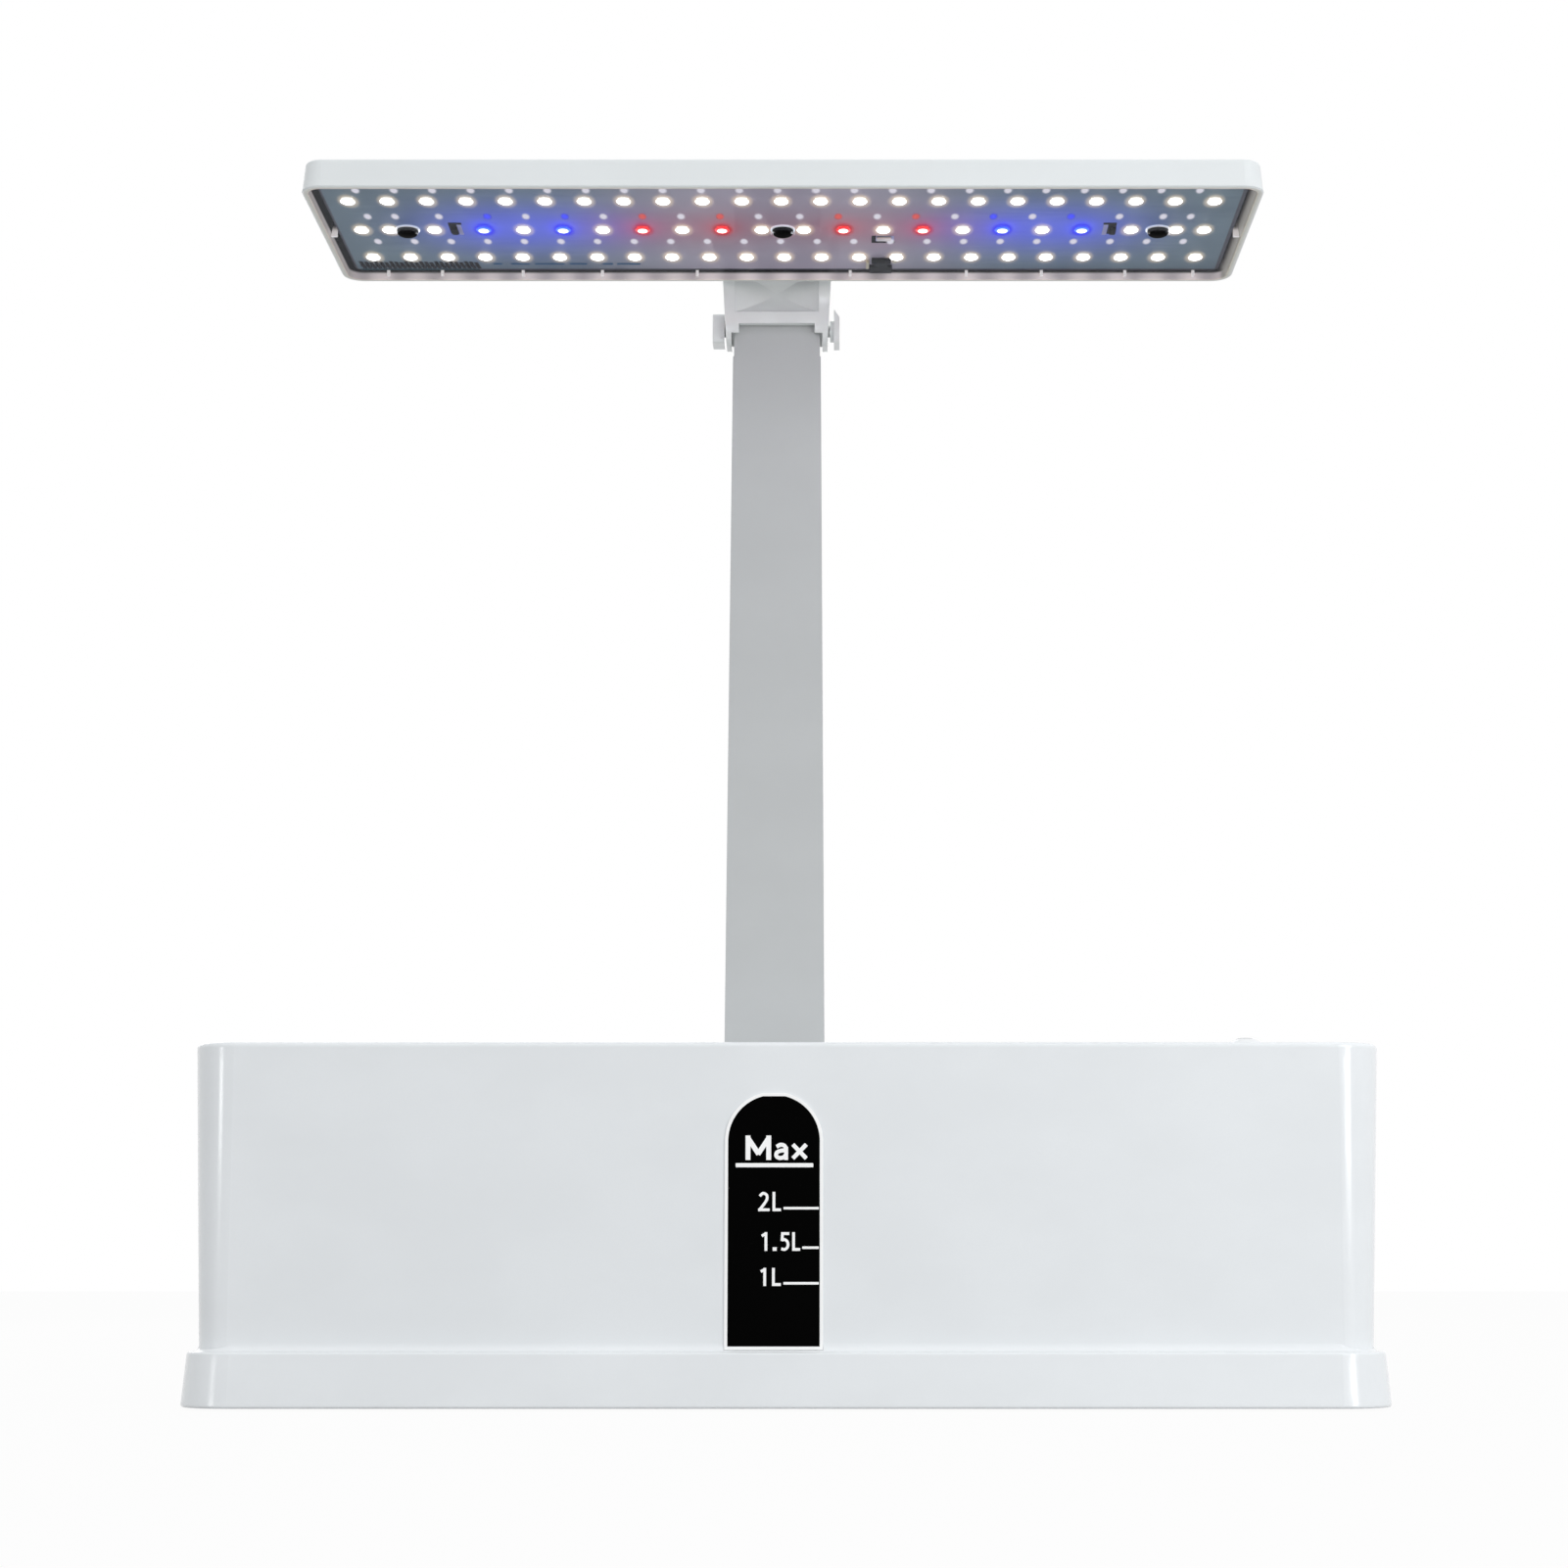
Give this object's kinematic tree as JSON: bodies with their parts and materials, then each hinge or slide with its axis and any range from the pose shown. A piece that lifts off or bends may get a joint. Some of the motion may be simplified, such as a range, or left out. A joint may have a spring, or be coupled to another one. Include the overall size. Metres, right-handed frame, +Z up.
{
  "type": "countertop hydroponic garden",
  "caption": "White water tank with level gauge, drop-in planting deck with net baskets and pump, and a grey post carrying a tilting LED grow lamp.",
  "frame": {"origin": "under the middle of the base, at the level of the rubber feet", "axes": "+X to the right along the tank, +Y to the back where the post stands, +Z up"},
  "size_m": [0.369, 0.137, 0.4011],
  "materials": {
    "white_shell": "glossy white moulded shell",
    "white_trim": "glossy white print line",
    "white_deck": "satin white moulding",
    "white_lamp": "satin white moulding",
    "white_button": "glossy white cap",
    "white_inner": "plain white moulding",
    "smoked_panel": "dark glossy panel",
    "grey_seal": "soft grey silicone",
    "black_rubber": "matt black rubber",
    "circuit_board": "green solder mask",
    "black_plastic": "fine textured black",
    "steel_screws": "plated steel",
    "black_screws": "black oxide steel",
    "bright_washers": "bright washer rings",
    "black_lead": "black sheathed wire",
    "grey_inner": "plain light grey moulding",
    "grey_post": "satin light grey",
    "grey_hinge": "glossy light grey",
    "led_board": "blue grey coated aluminium board",
    "led_white": "warm white LED package",
    "led_red": "deep red LED package",
    "led_blue": "royal blue LED package",
    "clear_lens": "clear acrylic sheet",
    "net_basket": "plain white moulding",
    "grow_sponge": "pressed peat sponge"
  },
  "bodies": {
    "tank_unit": {"base_tray": "white_shell", "rubber_feet": "black_rubber", "water_tank": "white_shell", "gauge_window": "smoked_panel", "gauge_bezel": "white_trim", "gauge_seal": "grey_seal"},
    "deck_unit": {"pod_deck": "white_deck", "control_box": "white_inner", "box_gasket": "grey_seal", "control_board": "circuit_board", "tact_switch": "black_plastic", "box_screws": "steel_screws", "deck_harness": "black_lead", "pump_hanger": "grey_inner", "pump_body": "black_plastic", "pump_cover": "black_plastic", "pump_filter": "grey_inner", "pump_lead": "black_lead", "light_post": "grey_post", "post_back_cover": "grey_post", "post_screws": "steel_screws", "dc_jack": "black_plastic", "post_lead": "black_lead"},
    "lamp_unit": {"lamp_yoke": "grey_hinge", "yoke_screws": "steel_screws", "pivot_bolt": "grey_hinge", "friction_washers": "white_inner", "lamp_housing": "white_lamp", "led_board": "led_board", "led_chips_white": "led_white", "led_chips_red": "led_red", "led_chips_blue": "led_blue", "board_screws": "black_screws", "screw_washers": "bright_washers", "lamp_lens": "clear_lens", "lead_grommet": "black_rubber", "lamp_lead": "black_lead"},
    "knob": {"tilt_knob": "grey_hinge"},
    "button": {"power_button": "white_button"},
    "rotor": {"pump_impeller": "white_inner"},
    "pod_1": {"pod_basket_1": "net_basket", "pod_sponge_1": "grow_sponge"},
    "pod_2": {"pod_basket_2": "net_basket", "pod_sponge_2": "grow_sponge"},
    "pod_3": {"pod_basket_3": "net_basket", "pod_sponge_3": "grow_sponge"},
    "pod_4": {"pod_basket_4": "net_basket", "pod_sponge_4": "grow_sponge"},
    "pod_5": {"pod_basket_5": "net_basket", "pod_sponge_5": "grow_sponge"},
    "pod_6": {"pod_basket_6": "net_basket", "pod_sponge_6": "grow_sponge"},
    "pod_7": {"pod_basket_7": "net_basket", "pod_sponge_7": "grow_sponge"},
    "pod_8": {"pod_basket_8": "net_basket", "pod_sponge_8": "grow_sponge"},
    "pod_9": {"pod_basket_9": "net_basket", "pod_sponge_9": "grow_sponge"}
  },
  "joints": [
    {"name": "deck_lift", "type": "slide", "parent": "tank_unit", "child": "deck_unit", "axis": [0, 0, 1], "range_m": [0, 0.14]},
    {"name": "pod_1_lift", "type": "slide", "parent": "deck_unit", "child": "pod_1", "axis": [0, 0, 1], "range_m": [0, 0.06]},
    {"name": "pod_2_lift", "type": "slide", "parent": "deck_unit", "child": "pod_2", "axis": [0, 0, 1], "range_m": [0, 0.06]},
    {"name": "pod_3_lift", "type": "slide", "parent": "deck_unit", "child": "pod_3", "axis": [0, 0, 1], "range_m": [0, 0.06]},
    {"name": "pod_4_lift", "type": "slide", "parent": "deck_unit", "child": "pod_4", "axis": [0, 0, 1], "range_m": [0, 0.06]},
    {"name": "pod_5_lift", "type": "slide", "parent": "deck_unit", "child": "pod_5", "axis": [0, 0, 1], "range_m": [0, 0.06]},
    {"name": "pod_6_lift", "type": "slide", "parent": "deck_unit", "child": "pod_6", "axis": [0, 0, 1], "range_m": [0, 0.06]},
    {"name": "pod_7_lift", "type": "slide", "parent": "deck_unit", "child": "pod_7", "axis": [0, 0, 1], "range_m": [0, 0.06]},
    {"name": "pod_8_lift", "type": "slide", "parent": "deck_unit", "child": "pod_8", "axis": [0, 0, 1], "range_m": [0, 0.06]},
    {"name": "pod_9_lift", "type": "slide", "parent": "deck_unit", "child": "pod_9", "axis": [0, 0, 1], "range_m": [0, 0.06]},
    {"name": "lamp_tilt", "type": "hinge", "parent": "deck_unit", "child": "lamp_unit", "pos_m": [-0.006, 0.0418, 0.3724], "axis": [1, 0, 0], "range_deg": [-90, 20]},
    {"name": "knob_turn", "type": "hinge", "parent": "lamp_unit", "child": "knob", "pos_m": [0.014, 0.0418, 0.3724], "axis": [1, 0, 0], "range_deg": [0, 360]},
    {"name": "button_press", "type": "slide", "parent": "deck_unit", "child": "button", "axis": [0, 0, -1], "range_m": [0, 0.0008], "stiffness_N_per_m": 1500, "springref_m": -0.0006},
    {"name": "rotor_spin", "type": "hinge", "parent": "deck_unit", "child": "rotor", "pos_m": [-0.006, 0.038, 0.0216], "axis": [0, 0, 1], "continuous": true}
  ]
}
